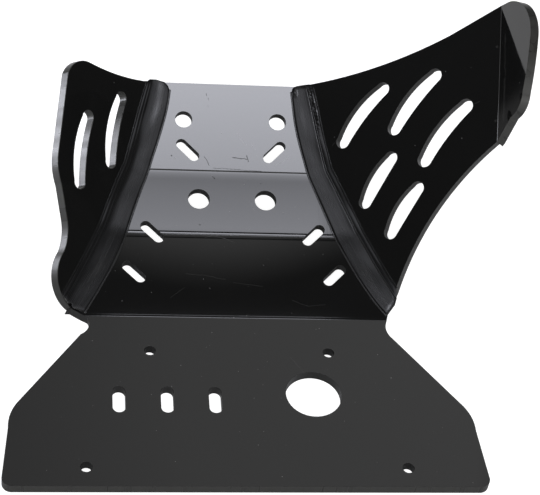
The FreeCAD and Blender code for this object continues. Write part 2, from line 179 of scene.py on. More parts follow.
# Inner face of the flange, how far the real one leans off it, and how near to it a normal is
FLANGE_FACE = (-0.943, -0.148, 0.298)
FLANGE_LEAN = (-0.018, 0.125, 0.006)
FLANGE_NEAR = 0.999

# Sheet faces: dust, hairlines, brush streaks with their depth on the centre and on a wing
FACE_DUST = {"Spacing": 0.0021, "Size": 0.0005}
FACE_HAIRS = {"Scale": 11.0, "Width": 0.0016}
BRUSH_SCALE = (620.0, 9.0, 9.0)
CENTRE_BRUSH = 7e-6
WING_BRUSH = 2.2e-6
CLOUD_SCALE = 14.0
# How pale and how rough hairlines are, how dull dust is, and how rough the dullest spots are
HAIR_PALENESS = 0.16
HAIR_ROUGHNESS = 0.1
DUST_DULLNESS = 0.5
DULL_ROUGHNESS = 0.6
# Shares of dust and of hairlines that are kept on the centre and on a wing
CENTRE_SHARES = (0.05, 0.3)
WING_SHARES = (0.02, 0.1)
# Cutter marks on cut edges: their spacing, and the depths of the coarse and the fine ones
MILL_SPACING = 0.0011
MILL_DEPTHS = (5e-5, 4.5e-5)
# Weld plastic: lines across, depths of the broad and the fine streaks, and dust
WELD_LINES = 26.0
WELD_DEPTHS = (3.5e-5, 7e-6)
WELD_DUST = {"Spacing": 0.002, "Size": 0.0004, "Share": 0.03}
WELD_DUST_SHOWS = 0.7
# Its small lobe gets this much smoother, from these shares across and distances along
GLOSS = 0.14
GLOSS_ACROSS = (0.66, 0.7)
GLOSS_ALONG = (0.13, 0.16)
# Shares of a colour where a pattern is 0, and what is added to them where it is 1
FACE_SHADE = (0.86, 0.28)
MILL_SHADE = (0.55, 0.9)
WELD_SHADE = (0.7, 0.6)

# Weld beads: sampling, rounding of the kinks, depth of the underside, and the share of the
# wide lobe over which its step rises
BEAD_STEP = 0.0005
BEAD_BLEND = 0.008
BEAD_ACROSS = 45
BEAD_SINK = 0.0005
BEAD_FOOT = 0.06
# How finely a size is followed between stations, and the samples it is averaged over
STATION_SAMPLES = 400
STATION_BLEND = 41
# Slow swells: height, and how fast they change along and across
SWELLS = ((0.00012, 90.0, 2.0), (0.00008, 210.0, 5.0))
# Short wrinkles: where they start and grow, and the middle and width of their band across
WRINKLES_FROM = 0.135
WRINKLES_GROW = 0.03
WRINKLES_MIDDLE = 0.82
WRINKLES_WIDTH = 0.12
# How fast wrinkles change along and across, and how far and how fast they sway along
WRINKLES_ALONG = 2100.0
WRINKLES_ACROSS = 9.0
SWAY = 1.5
SWAY_ALONG = 600.0
# The rear run of each bead is shaded, not shaped, as leaning forwards by a slope, up to a
# distance from the first fold, and the slope eases out over a short stretch there
BEAD_LEAN = 0.075
BEAD_LEAN_TO = 0.07
BEAD_LEAN_EASE = 0.012
# The thin lip outside each foot of a bead, outwards and upwards
LIP_OUT = np.array([0.0011, 0.0009, 0.0007, 0.0005])
LIP_UP = np.array([0.0, 0.0002, 0.00016, 0.0])


# Geometry shared by the pieces


def panel_lines():
    """The Y and Z of each panel's start, and of the front edge."""
    y, z = REAR_EDGE_Y, 0.0
    lines = []
    for length, tilt in zip(PANEL_LENGTHS, PANEL_TILTS):
        lines.append((y, z))
        y += length * cos(radians(tilt))
        z += length * sin(radians(tilt))
    lines.append((y, z))
    return lines


def wing_normal(wing):
    """Unit normal of a wing's inner face."""
    hand, lean, sweep = wing
    steep = radians(90 - lean)
    turn = radians(sweep)
    return np.array([-hand * cos(steep) * cos(turn), -cos(steep) * sin(turn), sin(steep)])


# Node helpers


def new_material(name):
    """A material with its node tree and its shader."""
    material = bpy.data.materials.new(name)
    material.use_nodes = True
    return material, material.node_tree, material.node_tree.nodes["Principled BSDF"]


def add_node(tree, kind, **values):
    """A node with its properties and input values set by name."""
    node = tree.nodes.new(kind)
    for key, value in values.items():
        if hasattr(node, key):
            setattr(node, key, value)
        else:
            node.inputs[key.replace("_", " ")].default_value = value
    return node


def feed(tree, value, socket):
    """Links a socket's value, or sets a plain one."""
    if isinstance(value, bpy.types.NodeSocket):
        tree.links.new(value, socket)
    else:
        socket.default_value = value


def worked(tree, operation, *values, clamp=False):
    """The result of a Math node."""
    node = add_node(tree, "ShaderNodeMath", operation=operation, use_clamp=clamp)
    for value, socket in zip(values, node.inputs):
        feed(tree, value, socket)
    return node.outputs[0]


def vector(tree, operation, *values):
    """The result of a Vector Math node: a number for a dot product or a length."""
    node = add_node(tree, "ShaderNodeVectorMath", operation=operation)
    for value, socket in zip(values, node.inputs):
        feed(tree, value, socket)
    return node.outputs["Value" if operation in ("DOT_PRODUCT", "LENGTH") else "Vector"]


def scaled(tree, value, size):
    """A vector times a number."""
    node = add_node(tree, "ShaderNodeVectorMath", operation="SCALE")
    feed(tree, value, node.inputs[0])
    feed(tree, size, node.inputs["Scale"])
    return node.outputs[0]


def parts(tree, value):
    """The X, Y and Z of a vector."""
    node = tree.nodes.new("ShaderNodeSeparateXYZ")
    feed(tree, value, node.inputs[0])
    return node.outputs


def spread(tree, value):
    """One number as a vector of three."""
    node = tree.nodes.new("ShaderNodeCombineXYZ")
    for socket in node.inputs:
        feed(tree, value, socket)
    return node.outputs[0]


def eased(tree, value, low, high, start=0.0, end=1.0):
    """Goes smoothly from start to end while the value goes from low to high."""
    node = add_node(tree, "ShaderNodeMapRange", interpolation_type="SMOOTHSTEP")
    for number, socket in zip((value, low, high, start, end), node.inputs):
        feed(tree, number, socket)
    return node.outputs[0]


def noise(tree, place, scale, detail=2.0):
    """Soft noise between 0 and 1."""
    node = add_node(tree, "ShaderNodeTexNoise", Detail=detail)
    feed(tree, place, node.inputs["Vector"])
    feed(tree, scale, node.inputs["Scale"])
    return node.outputs["Fac"]


def noise_vector(tree, place, scale):
    """Noise as a vector around zero."""
    node = add_node(tree, "ShaderNodeTexNoise", Detail=2.0, Scale=scale)
    feed(tree, place, node.inputs["Vector"])
    return vector(tree, "SUBTRACT", node.outputs["Color"], (0.5, 0.5, 0.5))


def mixed(tree, share, first, second):
    """One colour turning into another as the share goes from 0 to 1."""
    node = add_node(tree, "ShaderNodeMix", data_type="RGBA")
    feed(tree, share, node.inputs[0])
    feed(tree, first, node.inputs[6])
    feed(tree, second, node.inputs[7])
    return node.outputs[2]


def shaded(tree, colour, pattern, shade):
    """A colour that a pattern makes darker and lighter."""
    level = worked(tree, "ADD", shade[0], worked(tree, "MULTIPLY", pattern, shade[1]))
    return vector(tree, "MULTIPLY", tuple(colour), spread(tree, level))


def two_depths(tree, first, second, depths):
    """The height of two patterns together, each with its own depth."""
    low = worked(tree, "MULTIPLY", first, depths[0])
    return worked(tree, "ADD", low, worked(tree, "MULTIPLY", second, depths[1]))


def object_place(tree):
    """The place on the piece, in metres."""
    return add_node(tree, "ShaderNodeTexCoord").outputs["Object"]


def bumped(tree, height, shader):
    """Feeds a height in metres to a shader's normal."""
    bump = add_node(tree, "ShaderNodeBump", Strength=1.0, Distance=1.0)
    feed(tree, height, bump.inputs["Height"])
    feed(tree, bump.outputs["Normal"], shader.inputs["Normal"])


# Shader groups

GROUPS = {}


def new_group(name, vectors, numbers, results):
    """An empty shader group: its tree, what comes in and where its results go."""
    tree = bpy.data.node_groups.new(name, "ShaderNodeTree")
    for labels, way, kind in ((vectors, "INPUT", "NodeSocketVector"),
                              (numbers, "INPUT", "NodeSocketFloat"),
                              (results, "OUTPUT", "NodeSocketFloat")):
        for label in labels:
            tree.interface.new_socket(label, in_out=way, socket_type=kind)
    come = tree.nodes.new("NodeGroupInput").outputs
    go = tree.nodes.new("NodeGroupOutput").inputs
    return tree, come, go


def placed(tree, key, **values):
    """Places a shader group in a material, with its own values by name."""
    node = tree.nodes.new("ShaderNodeGroup")
    node.node_tree = GROUPS[key]
    for label, value in values.items():
        feed(tree, value, node.inputs[label])
    return node.outputs


def dust_group():
    """Dust: the cells of a Voronoi pattern hold a small round speck each, and few are kept."""
    tree, come, go = new_group("dust specks", ("Place",), ("Spacing", "Size", "Share"), ("Mask",))
    cells = tree.nodes.new("ShaderNodeTexVoronoi")
    feed(tree, come["Place"], cells.inputs["Vector"])
    feed(tree, worked(tree, "DIVIDE", 1.0, come["Spacing"]), cells.inputs["Scale"])
    split = tree.nodes.new("ShaderNodeSeparateColor")
    feed(tree, cells.outputs["Color"], split.inputs[0])
    kept = worked(tree, "LESS_THAN", split.outputs[0], come["Share"])
    size = worked(tree, "MULTIPLY", come["Size"], split.outputs[1])
    reach = worked(tree, "DIVIDE", size, come["Spacing"])
    near = eased(tree, cells.outputs["Distance"], 0.0, reach, 1.0, 0.0)
    feed(tree, worked(tree, "MULTIPLY", kept, near), go["Mask"])
    return tree


def hairline_group():
    """Hairline scratches: thin lines where a slow noise passes its middle, broken by another.

    The other noise is three times as fine. A line is kept where it passes a limit that falls
    from 0.75 by 0.4 of the share, and fades out over the first 0.06 above that limit.
    """
    tree, come, go = new_group("hairlines", ("Place",), ("Scale", "Width", "Share"), ("Mask",))
    slow = noise(tree, come["Place"], come["Scale"], 1.0)
    off = worked(tree, "ABSOLUTE", worked(tree, "SUBTRACT", slow, 0.5))
    line = eased(tree, off, 0.0, come["Width"], 1.0, 0.0)
    shifted = vector(tree, "ADD", come["Place"], (3.0, 5.0, 7.0))
    gate = noise(tree, shifted, worked(tree, "MULTIPLY", come["Scale"], 3.0), 2.0)
    least = worked(tree, "SUBTRACT", 0.75, worked(tree, "MULTIPLY", come["Share"], 0.4))
    kept = eased(tree, gate, least, worked(tree, "ADD", least, 0.06))
    feed(tree, worked(tree, "MULTIPLY", line, kept), go["Mask"])
    return tree


def stroke_group():
    """One short mark: full on the line from Start to End, gone at Width beside it."""
    tree, come, go = new_group("short mark", ("Place", "Start", "End"), ("Width",), ("Mask",))
    away = vector(tree, "SUBTRACT", come["Place"], come["Start"])
    run = vector(tree, "SUBTRACT", come["End"], come["Start"])
    share = worked(tree, "DIVIDE", vector(tree, "DOT_PRODUCT", away, run),
                   vector(tree, "DOT_PRODUCT", run, run), clamp=True)
    beside = vector(tree, "LENGTH", vector(tree, "SUBTRACT", away, scaled(tree, run, share)))
    feed(tree, eased(tree, beside, 0.0, come["Width"], 1.0, 0.0), go["Mask"])
    return tree


def mill_group():
    """Cutter marks: noise that hardly changes along Across, so its lines run from face to face.

    The place is squeezed to 0.04 of its length along Across. The coarse marks are 0.16 as fine.
    """
    tree, come, go = new_group("cutter marks", ("Place", "Across"), ("Spacing",), ("Fine", "Coarse"))
    distance = vector(tree, "DOT_PRODUCT", come["Place"], come["Across"])
    along = scaled(tree, come["Across"], worked(tree, "MULTIPLY", distance, 0.96))
    flat = vector(tree, "SUBTRACT", come["Place"], along)
    frequency = worked(tree, "DIVIDE", 1.0, come["Spacing"])
    feed(tree, noise(tree, flat, frequency, 2.0), go["Fine"])
    feed(tree, noise(tree, flat, worked(tree, "MULTIPLY", frequency, 0.16), 1.0), go["Coarse"])
    return tree


def streak_group():
    """Streaks drawn along a weld: noise on the seam's own coordinates, squeezed lengthways.

    The seam's distance is multiplied by 30 and its share across by Lines. The broad noise has
    half as many spots along and a quarter as many across.
    """
    tree, come, go = new_group("weld streaks", ("Seam",), ("Lines",), ("Fine", "Broad"))
    combined = tree.nodes.new("ShaderNodeCombineXYZ")
    feed(tree, 30.0, combined.inputs[0])
    feed(tree, come["Lines"], combined.inputs[1])
    squeezed = vector(tree, "MULTIPLY", come["Seam"], combined.outputs[0])
    feed(tree, noise(tree, squeezed, 1.0, 3.0), go["Fine"])
    broad = vector(tree, "MULTIPLY", squeezed, (0.5, 0.25, 1.0))
    feed(tree, noise(tree, broad, 1.0, 1.0), go["Broad"])
    return tree


def crease_height(tree, place, line, slopes):
    """Height of the ridges and grooves that folding left along one fold.

    Line is the fold's Y and Z and the tilt halfway between its panels. The distance from the
    fold is measured along that tilt. Slopes are (distance in mm, degrees off the panel), and
    the height is their sum along the distance.
    """
    y, z, tilt = line
    ahead = (0.0, cos(radians(tilt)), sin(radians(tilt)))
    distance = vector(tree, "DOT_PRODUCT", vector(tree, "SUBTRACT", place, (0.0, y, z)), ahead)
    marks, degrees = np.array(slopes).T
    along = np.linspace(marks[0], marks[-1], CREASE_POINTS) / 1000.0
    rises = np.tan(np.radians(np.interp(along * 1000.0, marks, degrees)))
    heights = np.concatenate([[0.0], np.cumsum((rises[1:] + rises[:-1]) / 2 * np.diff(along))])
    low, size = heights.min(), np.ptp(heights)
    share = add_node(tree, "ShaderNodeMapRange", From_Min=float(along[0]), From_Max=float(along[-1]))
    feed(tree, distance, share.inputs["Value"])
    curve = tree.nodes.new("ShaderNodeFloatCurve")
    points = curve.mapping.curves[0].points
    while len(points) < CREASE_POINTS:
        points.new(0.5, 0.5)
    for point, x, height in zip(points, np.linspace(0.0, 1.0, CREASE_POINTS), (heights - low) / size):
        point.location = (x, height)
    curve.mapping.update()
    feed(tree, share.outputs[0], curve.inputs["Value"])
    return worked(tree, "MULTIPLY", curve.outputs[0], float(size))


# Settings

# Shapes of the beads. Legs are (distance, size) stations in millimetres. Ends give the distance
# past the first fold and past the front edge in millimetres, by the share across from the panel
# foot to the wing foot. Blobs are (distance along, share across, length, width as a share,
# height). Other sizes are in metres or shares
RIGHT_BEAD = {
    "share": 0.66, "crown": -0.0003, "wave": 0.00013, "step": 0.0006, "small_crown": 0.00012,
    "small_leg": 0.0038, "small_most": 0.5, "valley_up": 0.0014, "valley_low": 0.0005,
    "panel_leg": ((0, 6.5), (14, 9.4), (28, 10.6), (45, 10.8), (72, 9.6), (118, 8.8), (140, 10.2),
                  (155, 10.4), (180, 8.0)),
    "wing_leg": ((0, 7.6), (35, 7.4), (72, 8.9), (116, 7.8), (142, 6.6), (165, 7.2), (180, 6.8)),
    "low_end": ((0.0, 6.5), (0.5, 10.5), (1.0, 19.5)),
    "high_end": ((0.0, -2.6), (0.08, 0.2), (0.25, 1.0), (0.6, 0.8), (0.85, 0.2), (1.0, -2.5)),
    "low_round": 0.004, "high_round": 0.004, "wrinkle": 0.00022,
    "blobs": ((0.1772, 0.12, 0.0026, 0.08, 0.0011), (0.1735, 0.74, 0.0035, 0.03, 0.0005),
              (0.1700, 0.90, 0.0040, 0.03, 0.0006), (0.1600, 0.93, 0.0045, 0.03, 0.0005),
              (0.1640, 0.77, 0.0012, 0.025, 0.0004), (0.1600, 0.78, 0.0010, 0.025, 0.0004)),
}
LEFT_BEAD = {
    "share": 0.84, "crown": -0.00055, "wave": 0.00026, "step": 0.00035, "small_crown": 0.000175,
    "small_leg": 0.0028, "small_most": 0.3, "valley_up": 0.0005, "valley_low": 0.0007,
    "panel_leg": ((0, 9.0), (25, 10.8), (48, 11.8), (75, 9.6), (100, 8.6), (119, 8.6), (145, 11.0),
                  (165, 11.8), (180, 10.4)),
    "wing_leg": ((0, 10.2), (20, 9.2), (44, 8.8), (90, 10.3), (107, 9.9), (130, 9.0), (154, 8.0),
                 (167, 7.2), (180, 6.2)),
    "low_end": ((0.0, 5.6), (0.45, 4.6), (0.55, 7.0), (0.65, 5.4), (1.0, 8.0)),
    "high_end": ((0.0, -3.0), (0.08, -0.6), (0.25, 1.2), (0.6, 1.2), (0.85, 0.0), (1.0, -2.5)),
    "low_round": 0.003, "high_round": 0.005, "wrinkle": 0.0, "blobs": (),
}


class StudioSettings(bpy.types.PropertyGroup):
    camera_place: FloatVectorProperty(
        name="Camera place", description="Where the camera stands",
        default=(-0.1273, -0.5908, 0.8187), subtype="TRANSLATION", unit="LENGTH")
    camera_turn: FloatVectorProperty(
        name="Camera turn", description="Turn to the right, tilt down and roll",
        default=(radians(11.27), radians(46.18), radians(9.40)), subtype="EULER", unit="ROTATION")
    lens: FloatProperty(
        name="Lens", description="Focal length on a 36 mm sensor, in millimetres",
        default=113.23, min=10.0)
    key_radiance: FloatProperty(
        name="Softbox brightness", description="Radiance in the middle of the overhead softbox",
        default=10.0, min=0.0)
    card_radiance: FloatProperty(
        name="Card brightness", description="Radiance of the pale card in front",
        default=0.8, min=0.0)
    side_radiance: FloatProperty(
        name="Side lamp brightness", description="Radiance of the small lamp on the left",
        default=10.5, min=0.0)
    edge_radiance: FloatProperty(
        name="Edge lamp brightness",
        description="Radiance of the lamp on the right, which lights up cut edges",
        default=2.2, min=0.0)
    fill_radiance: FloatProperty(
        name="Fill brightness", description="Radiance of the broad lamp behind the camera",
        default=4.5, min=0.0)
    world_level: FloatProperty(
        name="Room brightness", description="Radiance of the dim room around the lamps",
        default=0.02, min=0.0)
    floor_glow: FloatProperty(
        name="Floor whiteness", description="White that the floor adds for the camera",
        default=0.93, min=0.0, max=1.0)
    # Under the part, reflections show only this share of the floor's glow: a painted shadow
    painted_shadow_near: FloatProperty(
        name="Near floor in reflections",
        description="Share of that white that reflections show under the part",
        default=0.05, min=0.0, max=1.0)
    mirrored_far: FloatProperty(
        name="Far floor in reflections",
        description="Share of that white that reflections show around the part",
        default=0.6, min=0.0, max=1.0)


class SheetSettings(bpy.types.PropertyGroup):
    black: FloatVectorProperty(
        name="Sheet colour", description="Colour of the black plastic sheet",
        default=(0.008, 0.008, 0.0078), subtype="COLOR", size=3, min=0.0, max=1.0)
    gloss_roughness: FloatProperty(
        name="Face roughness", description="Roughness of the smooth faces",
        default=0.04, min=0.0, max=1.0)
    milled: FloatVectorProperty(
        name="Cut edge colour", description="Colour of the milled sides",
        default=(0.036, 0.036, 0.033), subtype="COLOR", size=3, min=0.0, max=1.0)
    # Hole walls are coloured darker than the milled edges, as painted shade in the holes
    shade_darkened: FloatVectorProperty(
        name="Hole wall colour", description="Colour of the walls of drilled holes and slots",
        default=(0.012, 0.012, 0.011), subtype="COLOR", size=3, min=0.0, max=1.0)
    milled_roughness: FloatProperty(
        name="Cut edge roughness", description="Roughness of the milled sides",
        default=0.3, min=0.0, max=1.0)
    dust: FloatVectorProperty(
        name="Dust colour", description="Colour of dust specks and pale scratches",
        default=(0.22, 0.22, 0.21), subtype="COLOR", size=3, min=0.0, max=1.0)
    edge_round: FloatProperty(
        name="Edge rounding", description="How far sharp edges are rounded off",
        default=0.0003, min=0.0, unit="LENGTH")
    weld_black: FloatVectorProperty(
        name="Weld colour", description="Colour of the weld plastic",
        default=(0.008, 0.008, 0.008), subtype="COLOR", size=3, min=0.0, max=1.0)
    weld_roughness: FloatProperty(
        name="Weld roughness", description="Roughness of the satin weld plastic",
        default=0.26, min=0.0, max=1.0)


# Stage


def area_lamp(name, place, size, radiance, colour, shape="RECTANGLE"):
    """An area lamp that faces down, with its node tree and its emission strength."""
    data = bpy.data.lights.new(name, "AREA")
    data.shape = shape
    data.size, data.size_y = size
    fill = np.pi / 4 if shape == "ELLIPSE" else 1.0
    data.energy = radiance * np.pi * fill * size[0] * size[1]
    data.color = colour
    data.use_nodes = True
    lamp = bpy.data.objects.new(name, data)
    lamp.location = place
    lamp.visible_camera = False
    bpy.context.scene.collection.objects.link(lamp)
    tree = data.node_tree
    return lamp, tree, tree.nodes["Emission"].inputs["Strength"]


def lamp_place(tree):
    """The place on a lamp, from 0 to 1 across and along."""
    return add_node(tree, "ShaderNodeNewGeometry").outputs["Parametric"]


def ramp(tree, source, stops, start=0.0, end=1.0):
    """A grey ramp of a value, from a few (place, level) stops between start and end."""
    node = add_node(tree, "ShaderNodeValToRGB")
    while len(node.color_ramp.elements) < len(stops):
        node.color_ramp.elements.new(0.5)
    for element, (place, level) in zip(node.color_ramp.elements, stops):
        element.position = (place - start) / (end - start)
        element.color = (level, level, level, 1.0)
    tree.links.new(source, node.inputs["Fac"])
    return node.outputs["Color"]


def camera_axes(turn, tilt, roll):
    """The camera's right, up and view directions from its three angles."""
    view = Vector((sin(turn) * cos(tilt), cos(turn) * cos(tilt), -sin(tilt)))
    level = Vector((cos(turn), -sin(turn), 0.0))
    upright = level.cross(view)
    right = level * cos(roll) + upright * sin(roll)
    up = upright * cos(roll) - level * sin(roll)
    return right, up, view


class SKIDPLATE_OT_stage(bpy.types.Operator):
    """Sets up the floor, lamps, world and camera"""

    bl_idname = "skidplate.stage"
    bl_label = "Build the studio"

    def execute(self, context):
        scene = context.scene
        studio = scene.skid_studio
        self.build_camera(scene, studio)
        self.build_softbox(studio)
        self.build_card(studio)
        self.build_aimed_lamp("side lamp", studio.side_radiance)
        self.build_aimed_lamp("edge lamp", studio.edge_radiance)
        self.build_aimed_lamp("fill", studio.fill_radiance)
        self.build_world(scene, studio)
        self.build_floor(scene, studio)
        scene.view_settings.view_transform = "Standard"
        return {"FINISHED"}

    def build_camera(self, scene, studio):
        data = bpy.data.cameras.new("camera")
        data.sensor_width = 36.0
        data.lens = studio.lens
        right, up, view = camera_axes(*studio.camera_turn)
        camera = bpy.data.objects.new("camera", data)
        turned = Matrix((right, up, -view)).transposed()
        camera.matrix_world = Matrix.Translation(studio.camera_place) @ turned.to_4x4()
        scene.collection.objects.link(camera)
        scene.camera = camera

    def build_softbox(self, studio):
        """The key lamp overhead: a bright field that dims forwards, with dim light beside it."""
        (left, *_), (right, *_) = SOFTBOX_ACROSS[0], SOFTBOX_ACROSS[-1]
        (rear, *_), (front, *_) = SOFTBOX_ALONG[0], SOFTBOX_ALONG[-1]
        middle = ((left + right) / 2, (rear + front) / 2, LAMP_HEIGHT)
        size = (right - left, front - rear)
        tree, strength = area_lamp("softbox", middle, size, studio.key_radiance, KEY_COLOUR)[1:]
        place = parts(tree, lamp_place(tree))
        along = ramp(tree, place["Y"], SOFTBOX_ALONG, rear, front)
        across = ramp(tree, place["X"], SOFTBOX_ACROSS, left, right)
        beside = ramp(tree, place["X"], BESIDE, left, right)
        ending = ramp(tree, place["Y"], BESIDE_ALONG, rear, front)
        beside = worked(tree, "MULTIPLY", beside, ending)
        feed(tree, worked(tree, "ADD", worked(tree, "MULTIPLY", along, across), beside), strength)

    def build_card(self, studio):
        """The pale oval card in front of the softbox, fading at its rim and to the left."""
        middle = (*CARD_MIDDLE, LAMP_HEIGHT)
        tree, strength = area_lamp(
            "card", middle, CARD_SIZE, studio.card_radiance, WHITE, "ELLIPSE")[1:]
        place = lamp_place(tree)
        sideways = ramp(tree, parts(tree, place)["X"], CARD_SIDEWAYS)
        outward = vector(tree, "LENGTH", vector(tree, "SUBTRACT", place, (0.5, 0.5, 0.0)))
        feed(tree, worked(tree, "MULTIPLY", sideways, ramp(tree, outward, CARD_RIM)), strength)

    def build_aimed_lamp(self, name, radiance):
        place, size, aim, colour = AIMED_LAMPS[name]
        lamp = area_lamp(name, place, size, radiance, colour)[0]
        lamp.data.node_tree.nodes["Emission"].inputs["Strength"].default_value = 1.0
        lamp.rotation_euler = (Vector(aim) - lamp.location).to_track_quat("-Z", "Y").to_euler()

    def build_world(self, scene, studio):
        """White for the camera, and a dim room for everything else."""
        world = bpy.data.worlds.new("white surround")
        world.use_nodes = True
        tree = world.node_tree
        back = tree.nodes["Background"]
        back.inputs["Color"].default_value = (1.0, 1.0, 1.0, 1.0)
        path = tree.nodes.new("ShaderNodeLightPath")
        level = add_node(tree, "ShaderNodeMapRange", To_Min=studio.world_level, To_Max=1.0)
        tree.links.new(path.outputs["Is Camera Ray"], level.inputs["Value"])
        tree.links.new(level.outputs["Result"], back.inputs["Strength"])
        scene.world = world

    def build_floor(self, scene, studio):
        """A pale floor that takes shadow and glows white for the camera, less in reflections, and least
        near the part as painted shadow.
        """
        half = FLOOR_HALF
        mesh = bpy.data.meshes.new("floor")
        z = FLOOR_Z - FLOOR_GAP
        corners = [(-half, -half, z), (half, -half, z), (half, half, z), (-half, half, z)]
        mesh.from_pydata(corners, [], [(0, 1, 2, 3)])
        floor = bpy.data.objects.new("floor", mesh)
        scene.collection.objects.link(floor)
        material, tree, shader = new_material("pale floor")
        shader.inputs["Base Color"].default_value = (0.5, 0.5, 0.5, 1.0)
        shader.inputs["Roughness"].default_value = 0.9
        shader.inputs["Specular IOR Level"].default_value = 0.0
        shader.inputs["Emission Color"].default_value = (1.0, 1.0, 1.0, 1.0)
        path = tree.nodes.new("ShaderNodeLightPath")
        # Near the part's middle the glow in reflections is cut down: a painted shadow of the part
        away = vector(tree, "SUBTRACT", object_place(tree), (*FLOOR_MIDDLE, z))
        share = eased(tree, vector(tree, "LENGTH", away), SHADOW_PAINTED_WITHIN, PALE_BEYOND,
                      studio.painted_shadow_near, studio.mirrored_far)
        mirrored = worked(tree, "MULTIPLY", path.outputs["Is Glossy Ray"], share)
        seen = worked(tree, "MAXIMUM", path.outputs["Is Camera Ray"], mirrored)
        feed(tree, worked(tree, "MULTIPLY", seen, studio.floor_glow), shader.inputs["Emission Strength"])
        mesh.materials.append(material)
        floor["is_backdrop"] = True


# Sheet


def rounded_copy(node_name, name, edge_round):
    """A plate's CAD shape with its points merged and its sharp edges rounded off a little."""
    shape = bmesh.new()
    shape.from_mesh(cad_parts[node_name].data)
    bmesh.ops.remove_doubles(shape, verts=shape.verts, dist=MERGE_DISTANCE)
    bmesh.ops.dissolve_limit(
        shape, angle_limit=radians(FLAT_DEGREES), verts=shape.verts, edges=shape.edges)
    sharp = [edge for edge in shape.edges if edge.calc_face_angle(0.0) > radians(CORNER_DEGREES)]
    bmesh.ops.bevel(
        shape, geom=sharp, offset=edge_round, segments=2, profile=0.5,
        affect="EDGES", clamp_overlap=True)
    mesh = bpy.data.meshes.new(name)
    shape.to_mesh(mesh)
    shape.free()
    mesh.shade_smooth()
    mesh.set_sharp_from_angle(angle=radians(SMOOTH_DEGREES))
    even_normals(mesh)
    piece = bpy.data.objects.new(name, mesh)
    bpy.context.scene.collection.objects.link(piece)
    return piece


def polygon_values(mesh, name, width):
    """One value of every polygon, as an array of numbers or of rows."""
    values = np.empty(width * len(mesh.polygons), dtype=np.float32)
    mesh.polygons.foreach_get(name, values)
    return values.reshape(-1, width) if width > 1 else values


def corner_points(mesh):
    """The number of the point at each corner of each polygon."""
    point = np.empty(len(mesh.loops), dtype=np.int32)
    mesh.loops.foreach_get("vertex_index", point)
    return point


def even_normals(mesh):
    """Corner normals that keep flat faces flat and round the folds and hole walls.

    A corner's normal is the mean of the polygons around its point that turn away from its own
    by less than SMOOTH_DEGREES. Each weighs as the square of the area of the whole flat that it
    is a part of, so a wide panel wins over the narrow strips of a fold. The corners of a flat
    larger than WIDE_FLAT keep its own normal.
    """
    normals = polygon_values(mesh, "normal", 3).astype(float)
    areas = polygon_values(mesh, "area", 1).astype(float)
    centres = polygon_values(mesh, "center", 3).astype(float)
    offsets = (normals * centres).sum(axis=1)
    plane = np.round(np.column_stack([normals * NORMAL_STEPS, offsets * OFFSET_STEPS])).astype(int)
    flat = np.unique(plane, axis=0, return_inverse=True)[1].ravel()
    flat_areas = np.bincount(flat, areas)[flat]
    weights = flat_areas ** 2
    point = corner_points(mesh)
    totals = np.empty(len(mesh.polygons), dtype=np.int32)
    mesh.polygons.foreach_get("loop_total", totals)
    polygon = np.repeat(np.arange(len(totals)), totals)
    order = np.argsort(point, kind="stable")
    counts = np.bincount(point)
    column = np.arange(len(point)) - np.repeat(np.cumsum(counts) - counts, counts)
    table = np.full((len(counts), counts.max()), -1)
    table[point[order], column] = order
    around = polygon[table]
    near = normals[around]
    weight = np.where(table >= 0, weights[around], 0.0)
    alike = np.einsum("vik,vjk->vij", near, near) > cos(radians(SMOOTH_DEGREES))
    means = np.einsum("vij,vj,vjk->vik", alike, weight, near)
    means /= np.maximum(np.linalg.norm(means, axis=-1, keepdims=True), SHORTEST)
    corner_normals = np.empty((len(point), 3))
    used = table >= 0
    corner_normals[table[used]] = means[used]
    wide = (flat_areas > WIDE_FLAT)[polygon]
    corner_normals[wide] = normals[polygon[wide]]
    mesh.normals_split_custom_set(corner_normals.tolist())


def lean_face(mesh, face, lean):
    """Turns the corner normals of one flat face a little, as on a face bent slightly further."""
    values = np.empty(3 * len(mesh.loops), dtype=np.float32)
    mesh.corner_normals.foreach_get("vector", values)
    normals = values.reshape(-1, 3).astype(float)
    leaning = normals @ np.array(face) > FLANGE_NEAR
    normals[leaning] += lean
    normals /= np.linalg.norm(normals, axis=1, keepdims=True)
    mesh.normals_split_custom_set(normals.tolist())


def dress_sheet(piece, node_name, materials, choice):
    """Gives each polygon of a plate one of its materials."""
    mesh = piece.data
    for material in materials:
        mesh.materials.append(material)
    mesh.polygons.foreach_set("material_index", choice.astype(np.int32))
    mesh.update()
    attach(piece, "root")
    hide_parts(node_name)


def mask_of(tree, place, marks):
    """The strongest of several short marks, with a hand-drawn wobble."""
    wobble = vector(tree, "MULTIPLY", noise_vector(tree, place, WOBBLE_SCALE), (WOBBLE, WOBBLE, 0.0))
    on_plan = vector(tree, "MULTIPLY", vector(tree, "ADD", place, wobble), (1.0, 1.0, 0.0))
    total = 0.0
    for start, end, width in marks:
        start, end = [tuple(value / 1000.0 for value in point) + (0.0,) for point in (start, end)]
        one = placed(tree, "stroke", Place=on_plan, Start=start, End=end, Width=width / 1000.0)
        total = worked(tree, "MAXIMUM", total, one["Mask"])
    return total


